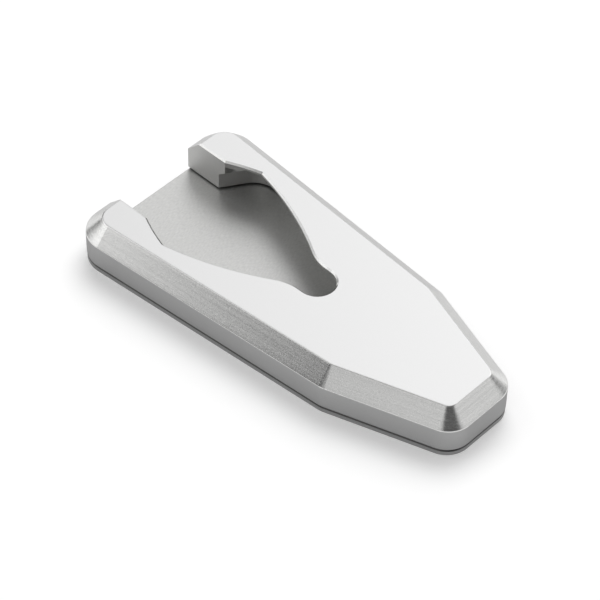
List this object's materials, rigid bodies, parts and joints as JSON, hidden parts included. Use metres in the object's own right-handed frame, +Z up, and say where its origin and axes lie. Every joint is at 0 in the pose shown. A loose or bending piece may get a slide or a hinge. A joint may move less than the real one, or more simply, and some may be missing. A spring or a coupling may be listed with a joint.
{
  "type": "kickstand foot enlarger",
  "caption": "Tapered metal foot that clamps round a motorbike stand's foot and spreads its load, open at the rear and chamfered all round.",
  "frame": {"origin": "on the ground, under the middle of the length and width, at the base plate's lower face", "axes": "+X to the nose, away from the open rear edge; +Z up, out of the keyhole opening; Y across, symmetric"},
  "size_m": [0.124, 0.0594, 0.0145],
  "materials": {
    "clear_anodised_aluminium": "satin, bead blasted and clear anodised",
    "brushed_plate_steel": "brushed",
    "screw_steel": "plain stainless"
  },
  "bodies": {
    "root": {"upper_body": "clear_anodised_aluminium", "base_plate": "brushed_plate_steel", "base_screws": "screw_steel"}
  },
  "joints": []
}
